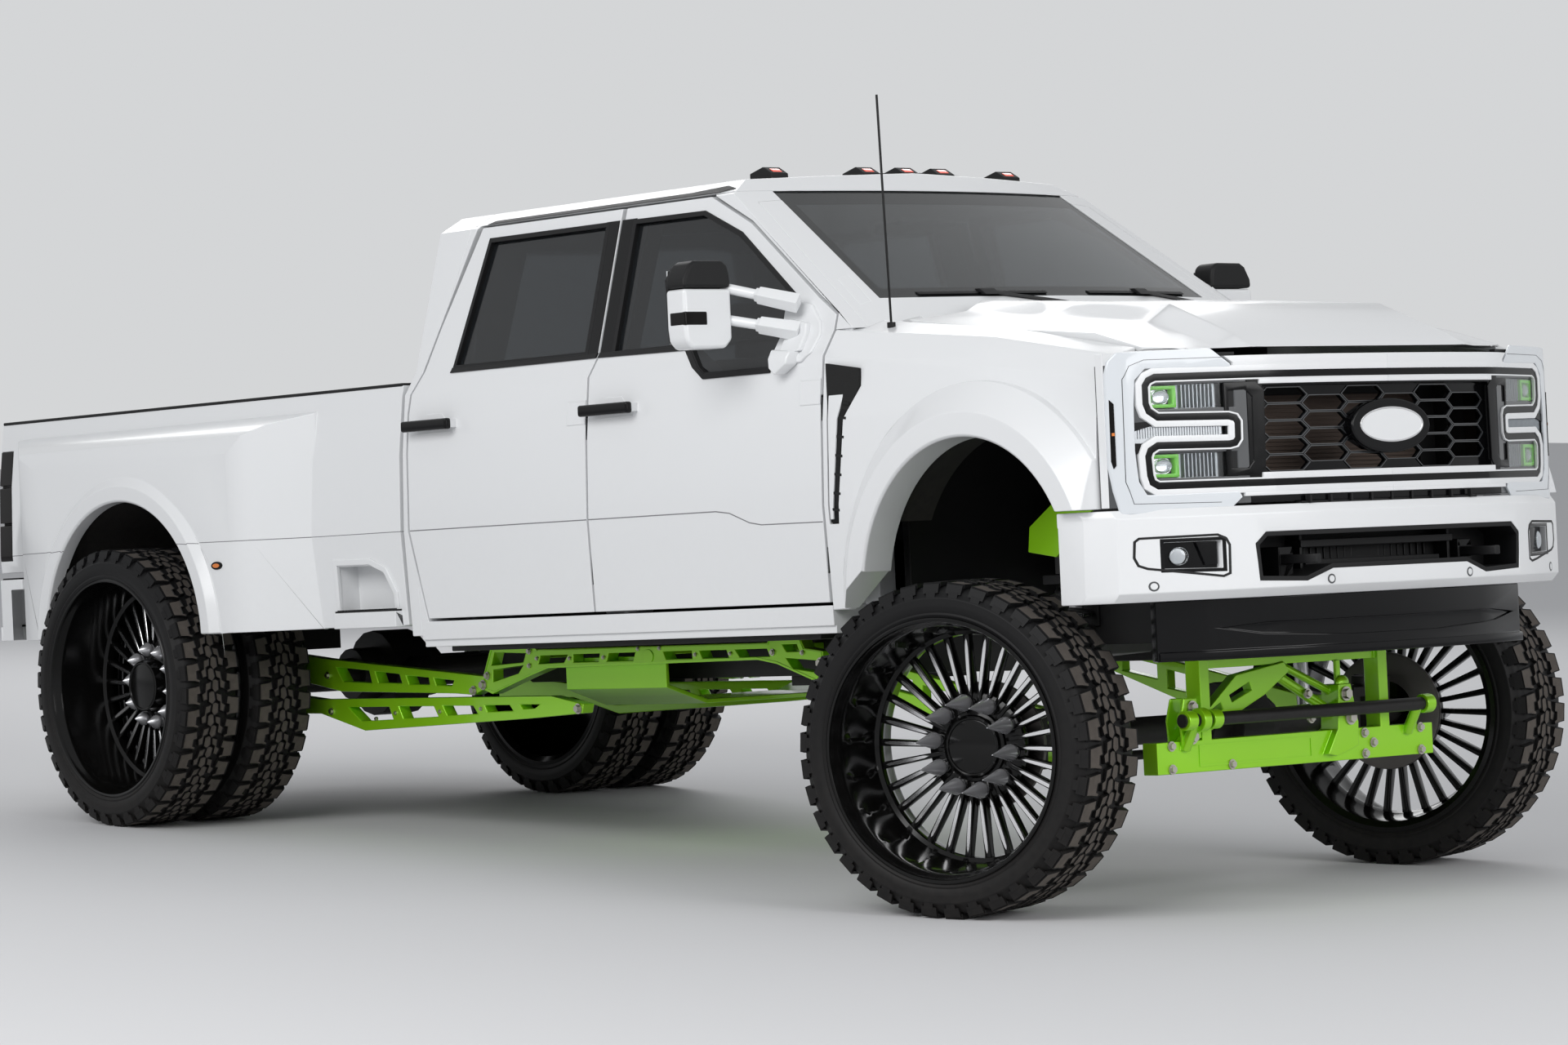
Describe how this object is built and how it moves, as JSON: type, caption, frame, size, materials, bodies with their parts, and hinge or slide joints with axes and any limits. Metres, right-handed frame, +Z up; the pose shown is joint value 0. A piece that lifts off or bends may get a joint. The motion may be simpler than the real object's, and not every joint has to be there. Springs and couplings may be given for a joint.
{
  "type": "pickup truck",
  "caption": "Crew-cab pickup truck with twin rear wheels, lifted on long links, with opening doors, hood and tailgate and wheels that steer and roll.",
  "frame": {"origin": "on the ground, under the middle of the truck's bounding box", "axes": "+X forward, +Y to the truck's left, +Z up"},
  "size_m": [6.7786, 2.7836, 2.5639],
  "materials": {
    "paint": "gloss",
    "black_trim": "gloss",
    "glass": "clear, tinted",
    "lamp": "clear lens",
    "tail_lamp": "smoked lens",
    "chassis_black": "satin",
    "engine_grey": "satin",
    "suspension_green": "gloss",
    "wheel_black": "gloss",
    "tyre": "matte",
    "cabin_trim": "matte",
    "seat": "satin"
  },
  "bodies": {
    "chassis": {"aerial": "black_trim", "air_dam": "black_trim", "bed_floor": "black_trim", "bed_sides": "paint", "belly_pan": "suspension_green", "cab_back": "paint", "cab_floor": "paint", "cab_glass": "glass", "cab_roof": "paint", "cab_sides": "paint", "cross_members": "chassis_black", "dashboard": "cabin_trim", "driveshaft": "chassis_black", "engine": "engine_grey", "fender_liners": "black_trim", "firewall": "paint", "frame_rails": "chassis_black", "front_axle": "chassis_black", "front_beam": "suspension_green", "front_bumper": "paint", "front_fenders": "paint", "fuel_tank": "chassis_black", "grille": "black_trim", "headlamps": "lamp", "hitch_receiver": "chassis_black", "link_trusses": "suspension_green", "radiator_carrier": "black_trim", "rear_axle": "chassis_black", "rear_bumper": "paint", "roof_lamps": "black_trim", "screen_frame": "black_trim", "seats": "seat", "springs": "chassis_black", "step_boxes": "black_trim", "suspension_arms": "suspension_green", "tail_lamps": "tail_lamp"},
    "door_front_left": {"door_front_left": "paint", "glass_front_left": "glass", "mirror_left": "black_trim"},
    "door_front_right": {"door_front_right": "paint", "glass_front_right": "glass", "mirror_right": "black_trim"},
    "door_rear_left": {"door_rear_left": "paint", "glass_rear_left": "glass"},
    "door_rear_right": {"door_rear_right": "paint", "glass_rear_right": "glass"},
    "hood": {"hood": "paint"},
    "tailgate": {"tailgate": "paint"},
    "knuckle_left": {"knuckle_left": "chassis_black"},
    "knuckle_right": {"knuckle_right": "chassis_black"},
    "tie_rod": {"tie_rod": "chassis_black"},
    "wheel_front_left": {"front_rim_left": "wheel_black", "front_tyre_left": "tyre"},
    "wheel_front_right": {"front_rim_right": "wheel_black", "front_tyre_right": "tyre"},
    "wheels_rear_left": {"rear_rims_left": "wheel_black", "rear_tyres_left": "tyre"},
    "wheels_rear_right": {"rear_rims_right": "wheel_black", "rear_tyres_right": "tyre"}
  },
  "joints": [
    {"name": "door_front_left_hinge", "type": "hinge", "parent": "chassis", "child": "door_front_left", "pos_m": [1.70908, 0.992, 1.31105], "axis": [0.0558, 0, -0.9984], "range_deg": [0, 65]},
    {"name": "door_rear_left_hinge", "type": "hinge", "parent": "chassis", "child": "door_rear_left", "pos_m": [0.47601, 0.992, 1.24211], "axis": [0.0558, 0, -0.9984], "range_deg": [0, 65]},
    {"name": "door_front_right_hinge", "type": "hinge", "parent": "chassis", "child": "door_front_right", "pos_m": [1.70908, -0.992, 1.31105], "axis": [-0.0558, 0, 0.9984], "range_deg": [0, 65]},
    {"name": "door_rear_right_hinge", "type": "hinge", "parent": "chassis", "child": "door_rear_right", "pos_m": [0.47601, -0.992, 1.24211], "axis": [-0.0558, 0, 0.9984], "range_deg": [0, 65]},
    {"name": "hood_hinge", "type": "hinge", "parent": "chassis", "child": "hood", "pos_m": [1.9208, 0, 1.82367], "axis": [0, -1, 0], "range_deg": [0, 45]},
    {"name": "tailgate_hinge", "type": "hinge", "parent": "chassis", "child": "tailgate", "pos_m": [-3.20266, 0, 0.93629], "axis": [0, -1, 0], "range_deg": [0, 90]},
    {"name": "steer_left", "type": "hinge", "parent": "chassis", "child": "knuckle_left", "pos_m": [2.44341, 0.768, 0.518], "axis": [0, 0, 1], "range_deg": [-45.7, 10.3]},
    {"name": "spin_front_left", "type": "hinge", "parent": "knuckle_left", "child": "wheel_front_left", "pos_m": [2.44341, 0.768, 0.518], "axis": [-0.304, 0.9527, 0], "continuous": true},
    {"name": "spin_rear_left", "type": "hinge", "parent": "chassis", "child": "wheels_rear_left", "pos_m": [-2.02459, 0.768, 0.518], "axis": [0, 1, 0], "continuous": true},
    {"name": "steer_right", "type": "hinge", "parent": "chassis", "child": "knuckle_right", "pos_m": [2.44341, -0.768, 0.518], "axis": [0, 0, 1], "range_deg": [-45.7, 10.3]},
    {"name": "spin_front_right", "type": "hinge", "parent": "knuckle_right", "child": "wheel_front_right", "pos_m": [2.44341, -0.768, 0.518], "axis": [-0.304, 0.9527, 0], "continuous": true},
    {"name": "spin_rear_right", "type": "hinge", "parent": "chassis", "child": "wheels_rear_right", "pos_m": [-2.02459, -0.768, 0.518], "axis": [0, 1, 0], "continuous": true},
    {"name": "tie_rod_pivot", "type": "hinge", "parent": "knuckle_left", "child": "tie_rod", "pos_m": [2.2243, 0.69807, 0.418], "axis": [0, 0, 1], "range_deg": [-10.3, 45.7]}
  ],
  "couplings": [
    {"joint": "steer_right", "follows": "steer_left", "ratio": 1},
    {"joint": "tie_rod_pivot", "follows": "steer_left", "ratio": -1}
  ]
}
